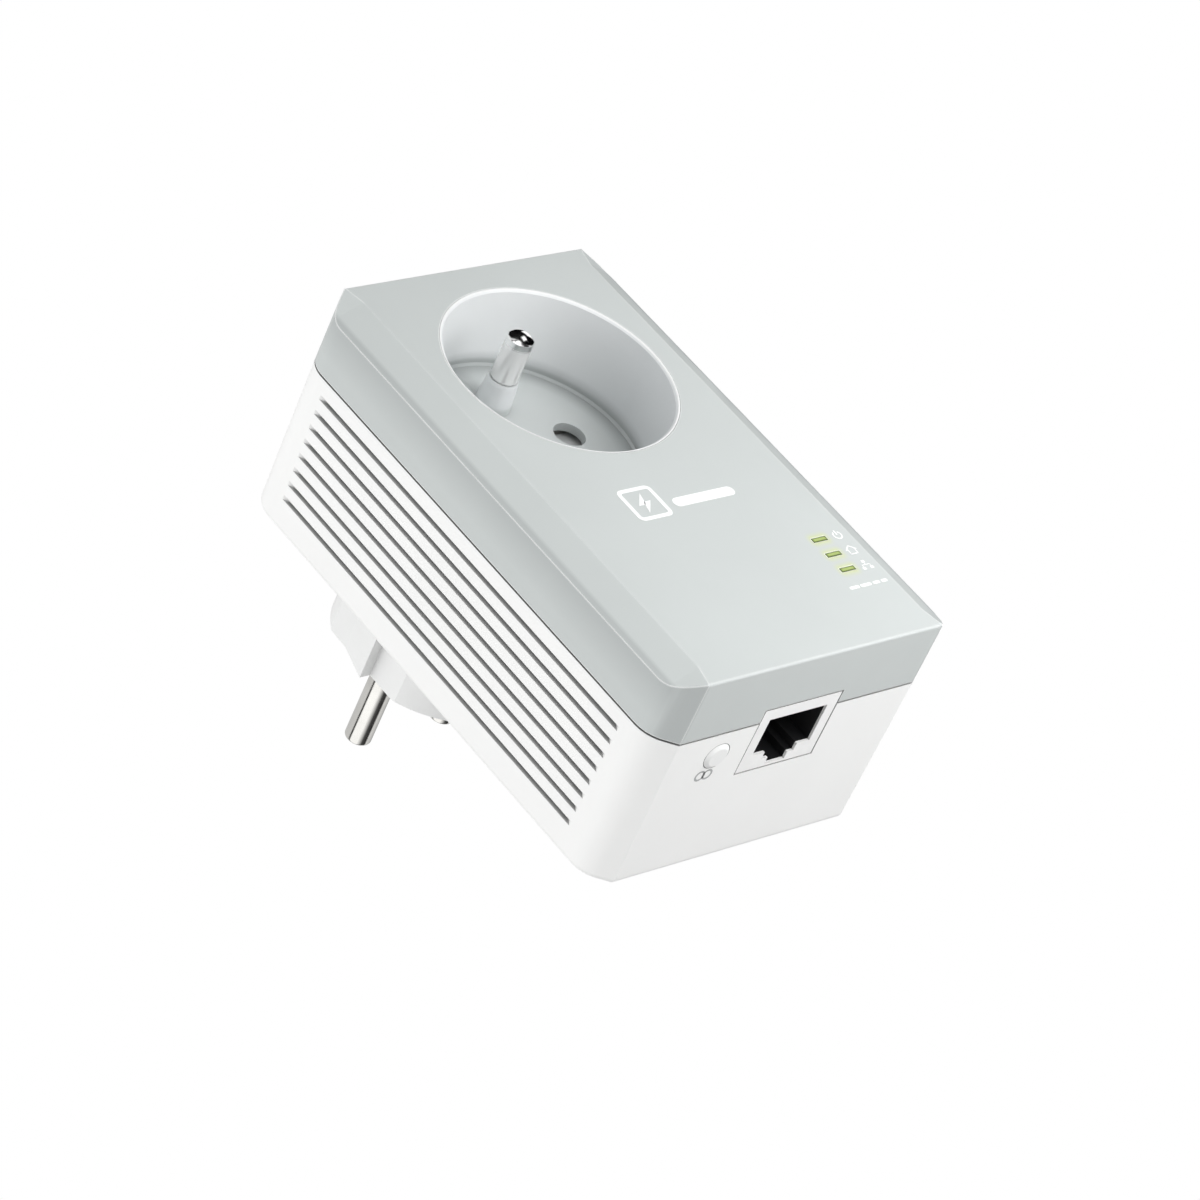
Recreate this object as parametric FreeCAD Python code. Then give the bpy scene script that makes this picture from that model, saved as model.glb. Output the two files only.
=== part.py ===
"""Pass-through powerline adapter with a French (type E) socket and plug.

Millimetres. +Z is up the long side, from the network port to the socket. -Y is the front face,
+Y points into the wall outlet, and +X is to the right when facing the front.
The origin lies between the two plug pins, on the face of the plug nose.
"""
import os
import math

import FreeCAD
import Part

V = FreeCAD.Vector
os.makedirs("parts", exist_ok=True)

# Case
FRONT = -61.7            # front face
PARTING = -49.3          # rear rim of the front cover
HOUSING_TOP = -48.95     # front rim of the rear housing, leaving a fine shadow gap
BACK = -18.5             # back face, which meets the wall plate
PORT_END = -70.7         # lower end, with the network port
FAR_END = 26.7           # upper end, by the socket
HALF_WIDTH = 30.5
WALL = 2.0
CORNER_X = 26.15         # where each slanted corner meets the end face
CORNER_DROP = 3.57       # how far each slanted corner runs down the side
CORNER_BLEND = 6.0       # radius where it meets the side
FACE_HALF = 25.1         # flat part of the front face, between the long chamfers
CHAMFER_RUN = 5.4
CHAMFER_DEPTH = 2.9
DRAFT = 0.6              # how much the housing narrows towards the back
BACK_ROUND = 1.5

# Side vents
VENT_COUNT = 8
VENT_FIRST = FRONT + 15.9
VENT_PITCH = 3.0
VENT_WIDTH = 0.9
VENT_LOW = PORT_END + 8.0
VENT_HIGH = FAR_END - 7.0
VENT_RAMP = 4.9

# Socket (type E): 19 mm between the contacts, earth pin 10 mm above them
PIN_OFFSET = 9.5
EARTH_Z = 10.0
PIN_R = 2.4
PIN_DOME = 1.0           # height of each pin's domed end
PIN_DOME_BLEND = 0.5
WELL_R = 20.2
WELL_LIP_R = 20.8
WELL_OUTER_R = 21.3
WELL_DEPTH = 15.8
WELL_FLOOR = FRONT + WELL_DEPTH
WELL_FLOOR_BACK = WELL_FLOOR + 1.6
WELL_HOLE_R = 2.9
SKIRT_TOP = WELL_FLOOR - 5.8     # the plastic skirt round the foot of the earth pin
PIN_ROOT_R = 2.2                 # each pin where plastic holds it
PIN_TAPER = 0.3                  # length of the step from root to pin
EARTH_TIP = FRONT + 0.5
CARRIER_BACK = WELL_FLOOR_BACK + 6.0

# Plug nose and pins
NOSE_R = 18.8
NOSE_FLAT = 16.3
NOSE_STEP_X = 18.55
NOSE_STEP_Z = -2.35      # where each side steps in, below the pins
NOSE_RAMP_Z = 5.0        # where the ramp above the step begins
PIN_TIP = 19.0
FLANGE_R = 21.0
EARTH_HOLE_R = 2.7

# Port end
JACK_HALF = 8.55
JACK_FRONT = FRONT + 10.0
JACK_BACK = FRONT + 23.4
JACK_DEPTH = 20.5
BUTTON_X = -15.6
BUTTON_Y = FRONT + 17.6
BUTTON_R = 2.5
BUTTON_FACE_R = 1.8
BUTTON_PROUD = 0.45
BUTTON_GAP = 0.12

# Lamps
LAMP_X = 18.3
LAMP_Z = [PORT_END + 23.1, PORT_END + 19.45, PORT_END + 15.8]
LAMP_WIDTH = 3.1
LAMP_HEIGHT = 0.8

# Boards
BOARD = 1.6
MAIN_FRONT = JACK_BACK + 0.2
MAIN_BACK = MAIN_FRONT + BOARD
POWER_FRONT = BACK - 4.1
POWER_BACK = POWER_FRONT + BOARD

# Screws and posts
SCREWS = [(-24.0, 18.0), (24.0, 18.0), (-24.0, -62.5), (24.0, -62.5)]
POSTS = [(-23.0, -50.0), (23.0, -50.0), (-23.0, -31.0), (23.0, -31.0)]
BOSS_R = 4.2
POST_R = 2.2

CONTACT_BACK = -27.6
STRIP = 0.8


def box(x0, x1, y0, y1, z0, z1):
    """A box between two corners."""
    return Part.makeBox(x1 - x0, y1 - y0, z1 - z0, V(x0, y0, z0))


def rod_y(radius, x, z, y0, y1):
    """A cylinder along Y."""
    return Part.makeCylinder(radius, y1 - y0, V(x, y0, z), V(0, 1, 0))


def rod_z(radius, x, y, z0, z1):
    """A cylinder along Z."""
    return Part.makeCylinder(radius, z1 - z0, V(x, y, z0), V(0, 0, 1))


def rod_x(radius, y, z, x0, x1):
    """A cylinder along X."""
    return Part.makeCylinder(radius, x1 - x0, V(x0, y, z), V(1, 0, 0))


def polygon(points):
    """A closed wire through a list of vectors."""
    return Part.makePolygon(points + [points[0]])


def prism(points, push):
    """A closed flat polygon pushed along a vector."""
    return Part.Face(polygon(points)).extrude(push)


def revolved(profile, x, z):
    """A (radius, y) profile turned about a Y axis through x, z."""
    points = [V(x + r, y, z) for r, y in profile]
    return Part.Face(polygon(points)).revolve(V(x, 0, z), V(0, 1, 0), 360)


def domed_pin(x, z, y_foot, y_tip):
    """A round pin along Y whose free end, at y_tip, is a low dome with a blended rim."""
    way = 1 if y_tip > y_foot else -1
    shoulder = y_tip - way * PIN_DOME
    dome_r = (PIN_R ** 2 + PIN_DOME ** 2) / (2 * PIN_DOME)
    pin = rod_y(PIN_R, x, z, min(y_foot, y_tip), max(y_foot, y_tip))
    dome = Part.makeSphere(dome_r, V(x, y_tip - way * dome_r, z))
    lower = rod_y(PIN_R, x, z, min(y_foot, shoulder), max(y_foot, shoulder))
    pin = lower.fuse(pin.common(dome)).removeSplitter()
    rim = [e for e in pin.Edges if abs(e.BoundBox.YMin - shoulder) < 0.01
           and abs(e.BoundBox.YMax - shoulder) < 0.01 and e.Length > PIN_R]
    return pin.makeFillet(PIN_DOME_BLEND, rim)


def mirrored(shape):
    """The same shape on the other side of the YZ plane."""
    return shape.mirror(V(0, 0, 0), V(1, 0, 0))


def joined(shapes):
    """One solid from overlapping shapes."""
    result = shapes[0]
    for shape in shapes[1:]:
        result = result.fuse(shape)
    return result.removeSplitter()


def save(name, shape):
    """Write one node, which must be a valid closed shape."""
    if not shape.isValid():
        print("INVALID", name)
    if len(shape.Solids) != 1:
        print("SOLIDS", name, len(shape.Solids))
    shape.exportStep("parts/%s.step" % name)


def outline(inset, y, draft):
    """The eight corners of the case seen from the front, moved inwards by inset.

    draft is how much each side has leaned in by that depth."""
    normal_x = CORNER_DROP / math.hypot(CORNER_DROP, HALF_WIDTH - CORNER_X)
    normal_z = math.sqrt(1 - normal_x ** 2)
    end_x = CORNER_X - inset * (1 - normal_z) / normal_x
    drop = CORNER_DROP + inset * (1 - normal_x) / normal_z
    side_x = HALF_WIDTH - inset
    low, high = PORT_END + inset, FAR_END - inset
    right = [(end_x, low), (side_x, PORT_END + drop), (side_x, FAR_END - drop), (end_x, high)]
    left = [(-x, z) for x, z in reversed(right)]
    lean = 1 - draft / HALF_WIDTH
    return [V(x * lean, y, z) for x, z in right + left]


def case_block(inset, y_front, y_back, draft=0.0):
    """A solid with the case's outline, its slanted corners blended into the sides."""
    wires = [polygon(outline(inset, y_front, 0.0)), polygon(outline(inset, y_back, draft))]
    block = Part.makeLoft(wires, True, True)
    limit = HALF_WIDTH - inset - draft - 0.8
    side_edges = []
    for edge in block.Edges:
        a, b = edge.Vertexes[0].Point, edge.Vertexes[-1].Point
        if abs(a.y - b.y) > 0.5 and min(abs(a.x), abs(b.x)) > limit:
            side_edges.append(edge)
    return block.makeFillet(CORNER_BLEND - inset, side_edges)


def chamfer_wedge(inset, z0, z1, x0, x1):
    """Tool that cuts the long chamfer; its inner edge runs from x0 at z0 to x1 at z1."""
    wires = []
    for z, start in ((z0, x0), (z1, x1)):
        y = FRONT + inset
        low = V(start - 0.3 * CHAMFER_RUN, y - 0.3 * CHAMFER_DEPTH, z)
        high = V(start + 1.8 * CHAMFER_RUN, y + 1.8 * CHAMFER_DEPTH, z)
        wires.append(polygon([low, high, V(high.x, low.y, z)]))
    return Part.makeLoft(wires, True, True)


def cut_chamfers(block, inset):
    """Both long chamfers, which narrow by a millimetre at the slanted corners."""
    start = FACE_HALF - 0.25 * inset
    bend = 4.0
    spans = [(PORT_END - 1, PORT_END, start + 1, start + 1),
             (PORT_END, PORT_END + bend, start + 1, start),
             (PORT_END + bend, FAR_END - bend, start, start),
             (FAR_END - bend, FAR_END, start, start + 1),
             (FAR_END, FAR_END + 1, start + 1, start + 1)]
    for z0, z1, x0, x1 in spans:
        wedge = chamfer_wedge(inset, z0, z1, x0, x1)
        block = block.cut(wedge).cut(mirrored(wedge))
    return block


def jack_profile(grow):
    """The network jack's opening: the plug's body and the two-step latch channel."""
    rows = [(6.45, 12.35), (6.45, 20.05), (3.6, 20.05), (3.6, 21.5), (2.2, 21.5), (2.2, 22.9)]
    right = []
    for x, depth in rows:
        toward_back = grow if depth > 15 else -grow
        right.append((x + grow, FRONT + depth + toward_back))
    left = [(-x, y) for x, y in reversed(right)]
    return right + left


def jack_prism(grow, z0, z1):
    """The jack opening's profile between two heights."""
    points = [V(x, y, z0) for x, y in jack_profile(grow)]
    return prism(points, V(0, 0, z1 - z0))


# ---------------------------------------------------------------- front cover
def front_cover():
    shell = cut_chamfers(case_block(0, FRONT, PARTING), 0)
    front_edges = [e for e in shell.Edges if e.Length > 20
                   and abs(e.BoundBox.YMax - FRONT) < 0.01]
    shell = shell.makeFillet(0.35, front_edges)
    cavity = cut_chamfers(case_block(WALL, FRONT + WALL, PARTING + 1), WALL)
    rebate = case_block(1.0, PARTING - 1.9, PARTING + 1)
    shell = shell.cut(cavity).cut(rebate)
    for x, z in SCREWS:
        shell = shell.fuse(rod_y(3.4, x, z, FRONT + WALL - 0.5, PARTING - 0.2))
        shell = shell.cut(rod_y(1.25, x, z, FRONT + WALL + 1.5, PARTING + 1))
    shell = shell.cut(rod_y(WELL_LIP_R + 0.05, 0, 0, FRONT - 1, FRONT + WALL + 1))
    for z in LAMP_Z:
        half_x, half_z = LAMP_WIDTH / 2 + 0.08, LAMP_HEIGHT / 2 + 0.08
        shell = shell.cut(box(LAMP_X - half_x, LAMP_X + half_x, FRONT - 1, FRONT + WALL + 1,
                              z - half_z, z + half_z))
    return shell.cut(box(-JACK_HALF - 0.25, JACK_HALF + 0.25, JACK_FRONT - 0.25, PARTING + 1,
                         PORT_END - 1, PORT_END + WALL + 1))


save("front_cover", front_cover())


# ---------------------------------------------------------------- rear housing
def vent_cutters():
    """Long side slots that run out to nothing at both ends."""
    outer, inner = HALF_WIDTH + 0.4, HALF_WIDTH - WALL - DRAFT - 0.3
    cutters = []
    for i in range(VENT_COUNT):
        y = VENT_FIRST + i * VENT_PITCH - VENT_WIDTH / 2
        points = [V(outer, y, VENT_LOW), V(outer, y, VENT_HIGH),
                  V(inner, y, VENT_HIGH - VENT_RAMP), V(inner, y, VENT_LOW + VENT_RAMP)]
        slot = prism(points, V(0, VENT_WIDTH, 0))
        cutters += [slot, mirrored(slot)]
    return cutters


def rear_housing():
    shell = case_block(0, HOUSING_TOP, BACK, DRAFT)
    back_edges = [e for e in shell.Edges if abs(e.BoundBox.YMin - BACK) < 0.01]
    shell = shell.makeFillet(BACK_ROUND, back_edges)
    shell = shell.fuse(case_block(1.15, HOUSING_TOP - 1.6, HOUSING_TOP + 1))
    shell = shell.cut(case_block(WALL, HOUSING_TOP - 2.6, BACK - WALL, DRAFT))
    for x, z in SCREWS:
        shell = shell.fuse(rod_y(BOSS_R, x, z, HOUSING_TOP - 0.2, BACK - WALL + 0.2))
    for x, z in POSTS:
        shell = shell.fuse(rod_y(POST_R, x, z, MAIN_BACK, BACK - WALL + 0.2))
        shell = shell.fuse(rod_y(POST_R + 1, x, z, POWER_BACK, BACK - WALL + 0.2))
    for x, z in SCREWS:
        shell = shell.cut(rod_y(1.65, x, z, HOUSING_TOP - 1, BACK + 1))
        shell = shell.cut(rod_y(3.0, x, z, BACK - 3.2, BACK + 1))
    for cutter in vent_cutters():
        shell = shell.cut(cutter)
    shell = shell.cut(rod_y(NOSE_R + 0.1, 0, 0, BACK - WALL - 1, BACK + 1))
    shell = shell.cut(box(-JACK_HALF - 0.25, JACK_HALF + 0.25, HOUSING_TOP - 3, JACK_BACK + 0.25,
                          PORT_END - 1, PORT_END + WALL + 1))
    shell = shell.cut(rod_z(BUTTON_R + BUTTON_GAP, BUTTON_X, BUTTON_Y, PORT_END - 1, PORT_END + 3))
    return shell.cut(box(-20.2, 20.2, BACK - 0.3, BACK + 1, -62.2, -29.8))


save("rear_housing", rear_housing())
save("rear_label", box(-20, 20, BACK - 0.3, BACK - 0.1, -62, -30))


def case_screw(x, z):
    """A pan-head screw from the back, with a cross recess."""
    head_back = BACK - 1.2
    screw = rod_y(2.75, x, z, BACK - 3.2, head_back)
    screw = screw.fuse(rod_y(1.45, x, z, HOUSING_TOP, BACK - 3.2))
    screw = screw.fuse(rod_y(1.25, x, z, PARTING - 8, HOUSING_TOP))
    screw = screw.cut(box(x - 1.5, x + 1.5, head_back - 1, head_back + 1, z - 0.3, z + 0.3))
    return screw.cut(box(x - 0.3, x + 0.3, head_back - 1, head_back + 1, z - 1.5, z + 1.5))


for label, (x, z) in zip(("upper_left", "upper_right", "lower_left", "lower_right"), SCREWS):
    save("screw_" + label, case_screw(x, z))


# ---------------------------------------------------------------- socket
def socket_well():
    """The round recess: lip, wall, floor, the skirt round the earth pin and two contact holes."""
    bevel = 0.4
    inside = [(0, FRONT - 1), (WELL_R + bevel, FRONT - 1), (WELL_R + bevel, FRONT),
              (WELL_R, FRONT + bevel), (WELL_R, WELL_FLOOR - bevel),
              (WELL_R - bevel, WELL_FLOOR), (0, WELL_FLOOR)]
    outside = [(0, FRONT), (WELL_LIP_R, FRONT), (WELL_LIP_R, FRONT + WALL),
               (WELL_OUTER_R, FRONT + WALL), (WELL_OUTER_R, WELL_FLOOR_BACK),
               (0, WELL_FLOOR_BACK)]
    well = revolved(outside, 0, 0).cut(revolved(inside, 0, 0))
    skirt = revolved([(0, WELL_FLOOR + 0.5), (0, SKIRT_TOP), (2.6, SKIRT_TOP),
                      (2.75, SKIRT_TOP + 0.6), (3.2, WELL_FLOOR), (3.2, WELL_FLOOR + 0.5)],
                     0, EARTH_Z)
    well = well.fuse(skirt)
    for x in (-PIN_OFFSET, PIN_OFFSET):
        well = well.cut(rod_y(WELL_HOLE_R, x, 0, WELL_FLOOR - 1, WELL_FLOOR_BACK + 1))
    return well.cut(rod_y(PIN_ROOT_R, 0, EARTH_Z, SKIRT_TOP - 1, WELL_FLOOR_BACK + 1))


save("socket_well", socket_well())



def earth_pin():
    """A domed pin on a slimmer root that the skirt holds, with a shank behind the floor."""
    foot = SKIRT_TOP - PIN_TAPER
    taper = Part.makeCone(PIN_R, PIN_ROOT_R, PIN_TAPER, V(0, foot, EARTH_Z), V(0, 1, 0))
    root = rod_y(PIN_ROOT_R, 0, EARTH_Z, SKIRT_TOP, WELL_FLOOR_BACK)
    shank = rod_y(2.0, 0, EARTH_Z, WELL_FLOOR_BACK, -31.0)
    return joined([domed_pin(0, EARTH_Z, foot, EARTH_TIP), taper, root, shank])


save("earth_pin", earth_pin())

# Shutter carrier: a shallow tray behind the floor, open towards the well
SLIDER_FRONT = WELL_FLOOR_BACK + 0.5
SLIDER_BACK = SLIDER_FRONT + 2.2
TRAVEL = 6.0
PAD_LOW, PAD_HIGH = -3.6, 3.3
BAR_LOW, BAR_HIGH = -8.6, -5.2
SEAT_Z = -17.2
carrier = box(-18, 18, WELL_FLOOR_BACK, CARRIER_BACK, -19.4, 6.9)
carrier = carrier.cut(box(-14.2, 14.2, WELL_FLOOR_BACK - 1, SLIDER_BACK + 0.35, SEAT_Z, 4.2))
for x in (-PIN_OFFSET, PIN_OFFSET):
    carrier = carrier.cut(rod_y(WELL_HOLE_R, x, 0, WELL_FLOOR_BACK, CARRIER_BACK + 1))
save("shutter_carrier", carrier)


def shutter_slider():
    """Two ramped pads joined by a bar; a pair of pins pushes it down and clears both holes."""
    parts = [box(-13.8, 13.8, SLIDER_FRONT + 0.2, SLIDER_BACK, BAR_LOW, BAR_HIGH)]
    for x0, x1 in ((-13.8, -5.6), (5.6, 13.8)):
        ramp = [V(x0, SLIDER_FRONT, PAD_LOW), V(x0, SLIDER_FRONT + 0.9, PAD_HIGH),
                V(x0, SLIDER_BACK, PAD_HIGH), V(x0, SLIDER_BACK, BAR_LOW),
                V(x0, SLIDER_FRONT + 0.2, BAR_LOW)]
        parts.append(prism(ramp, V(x1 - x0, 0, 0)))
    return joined(parts)


save("shutter_slider", shutter_slider())

# Shutter spring, from the carrier's seat to the slider's bar
SPRING_R = 0.85
WIRE_R = 0.16
SPRING_Y = (SLIDER_FRONT + 0.2 + SLIDER_BACK) / 2
spring_low, spring_high = SEAT_Z + WIRE_R + 0.02, BAR_LOW - WIRE_R - 0.02
helix = Part.makeHelix((spring_high - spring_low) / 6.0, spring_high - spring_low, SPRING_R)
helix.translate(V(0, SPRING_Y, spring_low))
start = V(SPRING_R, SPRING_Y, spring_low)
section = Part.Wire(Part.makeCircle(WIRE_R, start, V(0, 1, 0.25)))
spring = Part.Wire(helix).makePipeShell([section], True, False)
save("shutter_spring", spring)


def socket_contact():
    """A sprung sleeve split into two jaws, on a base disc."""
    sleeve = rod_y(3.15, PIN_OFFSET, 0, CARRIER_BACK + 0.3, CONTACT_BACK)
    sleeve = sleeve.cut(rod_y(2.45, PIN_OFFSET, 0, CARRIER_BACK, CONTACT_BACK - 0.8))
    slit = box(PIN_OFFSET - 0.4, PIN_OFFSET + 0.4, CARRIER_BACK, CONTACT_BACK - 3, -4, 4)
    return sleeve.cut(slit)


save("socket_contact_right", socket_contact())
save("socket_contact_left", mirrored(socket_contact()))


# ---------------------------------------------------------------- plug
def plug_body():
    """Nose whose flat sides ramp out to a step, hollow inside, and the flange that holds it."""
    nose = rod_y(NOSE_R, 0, 0, BACK - WALL, 0)
    clear = NOSE_R + 1
    below = box(NOSE_FLAT, clear, BACK, 1, -clear, NOSE_STEP_Z)
    above = prism([V(NOSE_FLAT, BACK, clear), V(NOSE_FLAT, BACK, NOSE_RAMP_Z),
                   V(NOSE_STEP_X, BACK, NOSE_STEP_Z), V(clear, BACK, NOSE_STEP_Z),
                   V(clear, BACK, clear)], V(0, 1 - BACK, 0))
    for side in (below, above):
        nose = nose.cut(side).cut(mirrored(side))
    rim = [e for e in nose.Edges if abs(e.BoundBox.YMin) < 0.01 and abs(e.BoundBox.YMax) < 0.01
           and e.Length > NOSE_R]
    nose = nose.makeFillet(0.5, rim)
    body = nose.fuse(rod_y(FLANGE_R, 0, 0, BACK - WALL - 1.5, BACK - WALL))
    body = body.cut(rod_y(15.2, 0, 0, BACK - 5, -2.5))
    for x in (-PIN_OFFSET, PIN_OFFSET):
        body = body.fuse(rod_y(4.4, x, 0, -21.5, -2))
    body = body.fuse(rod_y(4.6, 0, EARTH_Z, -21.5, -2))
    for x in (-PIN_OFFSET, PIN_OFFSET):
        body = body.cut(rod_y(PIN_ROOT_R, x, 0, -14, 1))
        body = body.cut(rod_y(PIN_R + 0.05, x, 0, -PIN_TAPER, 1))
        body = body.cut(rod_y(1.6, x, 0, -23, -13))
    body = body.cut(rod_y(EARTH_HOLE_R, 0, EARTH_Z, -2, 1))
    body = body.cut(rod_y(3.2, 0, EARTH_Z, -15, -1.6))
    return body.cut(rod_y(1.3, 0, EARTH_Z, -23, -14))


save("plug_body", plug_body())


def plug_pin():
    """A 4.8 mm pin with a domed tip, a slimmer root in the nose and a thin rear shank."""
    return joined([domed_pin(PIN_OFFSET, 0, PIN_TAPER, PIN_TIP),
                   Part.makeCone(PIN_ROOT_R, PIN_R, PIN_TAPER, V(PIN_OFFSET, 0, 0), V(0, 1, 0)),
                   rod_y(PIN_ROOT_R, PIN_OFFSET, 0, -14, 0),
                   rod_y(1.6, PIN_OFFSET, 0, CONTACT_BACK, -14)])


save("plug_pin_right", plug_pin())
save("plug_pin_left", mirrored(plug_pin()))

receptacle = rod_y(3.2, 0, EARTH_Z, -15, -1.6)
receptacle = receptacle.cut(rod_y(2.45, 0, EARTH_Z, -14, -1))
receptacle = receptacle.cut(box(-0.4, 0.4, -12, -1, EARTH_Z - 4, EARTH_Z + 4))
save("earth_receptacle", receptacle)
save("earth_link", rod_y(1.2, 0, EARTH_Z, -31.0, -15))


def busbar():
    """A strip from the contact down to the power board, with a leg that reaches the board."""
    x0, x1 = PIN_OFFSET - 2.5, PIN_OFFSET + 2.5
    strip = box(x0, x1, CONTACT_BACK, CONTACT_BACK + STRIP, -30.0, 3.4)
    leg = box(x0 + 1.5, x1 - 1.5, CONTACT_BACK, POWER_FRONT, -30.0, -29.2)
    return joined([strip, leg]).cut(rod_y(1.6, PIN_OFFSET, 0, CONTACT_BACK - 1, -26))


save("live_busbar", busbar())
save("neutral_busbar", mirrored(busbar()))

barrier = box(-27, 27, -43.0, BACK - WALL - 0.1, -24.2, -23.4)
for x in (-PIN_OFFSET, PIN_OFFSET):
    barrier = barrier.cut(box(x - 2.7, x + 2.7, CONTACT_BACK - 0.2, BACK, -25, -23))
save("insulating_barrier", barrier)


# ---------------------------------------------------------------- boards
def board(y0, y1, z0, z1, post_r):
    """A board notched round the lower screw bosses and drilled for the posts."""
    plate = box(-26.5, 26.5, y0, y1, z0, z1)
    for x, z in SCREWS[2:]:
        outside = 27.0 if x > 0 else -27.0
        plate = plate.cut(rod_y(BOSS_R + 0.4, x, z, y0 - 1, y1 + 1))
        plate = plate.cut(box(min(x, outside), max(x, outside), y0 - 1, y1 + 1, z0 - 1, z + 4.6))
    if post_r > 0:
        for x, z in POSTS:
            plate = plate.cut(rod_y(post_r, x, z, y0 - 1, y1 + 1))
    return plate


save("main_board", board(MAIN_FRONT, MAIN_BACK, -68.2, -25.2, 0))
save("power_board", board(POWER_FRONT, POWER_BACK, -66.0, -27.5, POST_R + 0.2))


# Network jack: metal shield with the front plate, moulded insert, eight contacts
def rj45_shield():
    z0, z1 = PORT_END + 0.05, PORT_END + JACK_DEPTH
    plate = box(-JACK_HALF, JACK_HALF, JACK_FRONT, JACK_BACK, z0, PORT_END + 0.5)
    body = box(-8.1, 8.1, JACK_FRONT + 0.15, JACK_BACK, PORT_END + 0.4, z1)
    hollow = box(-7.75, 7.75, JACK_FRONT + 0.5, JACK_BACK - 0.35, PORT_END + 0.5, z1 - 0.35)
    return joined([plate, body]).cut(hollow).cut(jack_prism(0, z0 - 1, PORT_END + 0.6))


def rj45_housing():
    z0, z1 = PORT_END + 0.5, PORT_END + JACK_DEPTH - 0.35
    insert = box(-7.75, 7.75, JACK_FRONT + 0.5, JACK_BACK - 0.35, z0, z1)
    insert = insert.cut(jack_prism(0, z0 - 1, z0 + 13.5))
    for i in range(8):
        x = (i - 3.5) * 1.02
        insert = insert.cut(box(x - 0.25, x + 0.25, FRONT + 11.4, FRONT + 12.6, z0 - 1, z0 + 13.5))
    return insert


save("rj45_shield", rj45_shield())
save("rj45_housing", rj45_housing())


def rj45_contacts():
    """Eight sprung wires that share one carrier strip at the back of the cavity."""
    top, back = FRONT + 11.6, PORT_END + 14.0
    wires = [box(-4.2, 4.2, top + 0.8, top + 2.2, back - 0.8, back)]
    for i in range(8):
        x = (i - 3.5) * 1.02 - 0.18
        points = [V(x, top + 0.05, back - 10.5), V(x, top + 0.4, back - 10.5),
                  V(x, top + 3.2, back - 2.6), V(x, top + 1.9, back - 0.4),
                  V(x, top + 1.5, back - 0.4), V(x, top + 2.7, back - 2.6)]
        wires.append(prism(points, V(0.36, 0, 0)))
    return joined(wires)


save("rj45_contacts", rj45_contacts())

# Pair button and the switch behind it
CAP_INNER = PORT_END + 4.4
button = Part.makeCone(BUTTON_FACE_R, BUTTON_R, BUTTON_PROUD,
                       V(BUTTON_X, BUTTON_Y, PORT_END - BUTTON_PROUD), V(0, 0, 1))
button = button.fuse(rod_z(BUTTON_R, BUTTON_X, BUTTON_Y, PORT_END, PORT_END + 2.9)).removeSplitter()
button = button.makeFillet(0.25, [e for e in button.Edges
                                  if e.BoundBox.ZMax < PORT_END - BUTTON_PROUD + 0.01])
button = joined([button, rod_z(3.0, BUTTON_X, BUTTON_Y, PORT_END + 2.1, PORT_END + 3.2),
                 rod_z(1.2, BUTTON_X, BUTTON_Y, PORT_END + 3.2, CAP_INNER)])
save("pair_button", button)

switch_z0, switch_z1 = CAP_INNER + 1.3, CAP_INNER + 4.9
save("tact_plunger", rod_z(1.3, BUTTON_X, BUTTON_Y, CAP_INNER + 0.02, switch_z1 - 1.2))
switch = box(BUTTON_X - 3.1, BUTTON_X + 3.1, BUTTON_Y - 3.1, BUTTON_Y + 3.1, switch_z0, switch_z1)
switch = switch.fuse(box(BUTTON_X - 3.1, BUTTON_X + 3.1, BUTTON_Y, MAIN_FRONT,
                         switch_z1 - 1.5, switch_z1))
switch = switch.cut(rod_z(1.42, BUTTON_X, BUTTON_Y, switch_z0 - 1, switch_z1 - 0.4))
save("tact_switch", switch.removeSplitter())

# Lamps on the main board and the light pipes that carry them to the front
for name, z in zip(("power", "house", "network"), LAMP_Z):
    chip_front = MAIN_FRONT - 0.9
    save("lamp_" + name, box(LAMP_X - 1, LAMP_X + 1, chip_front, MAIN_FRONT, z - 0.6, z + 0.6))
    pipe = box(LAMP_X - LAMP_WIDTH / 2, LAMP_X + LAMP_WIDTH / 2, FRONT - 0.05, FRONT + WALL + 1,
               z - LAMP_HEIGHT / 2, z + LAMP_HEIGHT / 2)
    stem = box(LAMP_X - 1.2, LAMP_X + 1.2, FRONT + WALL + 0.6, chip_front - 0.2,
               z - LAMP_HEIGHT / 2, z + LAMP_HEIGHT / 2)
    save("light_pipe_" + name, joined([pipe, stem]))

# Parts on the front of the main board
chip_top = MAIN_FRONT - 1.4
save("plc_processor", box(-6.5, 6.5, chip_top, MAIN_FRONT, -44.0, -31.0))


def heat_sink():
    """A base plate with seven fins."""
    base = box(-9, 9, chip_top - 1.5, chip_top, -46.5, -28.5)
    fins = [box(x - 0.4, x + 0.4, chip_top - 7, chip_top - 1.4, -46.5, -28.5)
            for x in (-8.6, -5.73, -2.87, 0, 2.87, 5.73, 8.6)]
    return joined([base] + fins)


save("heat_sink", heat_sink())
save("memory_chip", box(-22, -12.5, MAIN_FRONT - 1.0, MAIN_FRONT, -40, -34))
save("crystal", box(11.5, 14.7, MAIN_FRONT - 0.9, MAIN_FRONT, -33.5, -28.5))
save("network_transformer", box(-22.5, -12.0, MAIN_FRONT - 5.5, MAIN_FRONT, -54.5, -46.5))

# Parts on the front of the power board
leg_y = POWER_FRONT


def transformer_core():
    """A flat E-core pair: a frame with a middle leg for the winding."""
    y0, y1 = leg_y - 9.5, leg_y - 3.0
    core = box(-20, -4, y0, y1, -50.5, -36.5)
    core = core.cut(box(-17.5, -6.5, y0 - 1, y1 + 1, -48, -39))
    return core.fuse(box(-14.2, -9.8, y0, y1, -48.5, -38.5)).removeSplitter()


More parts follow.
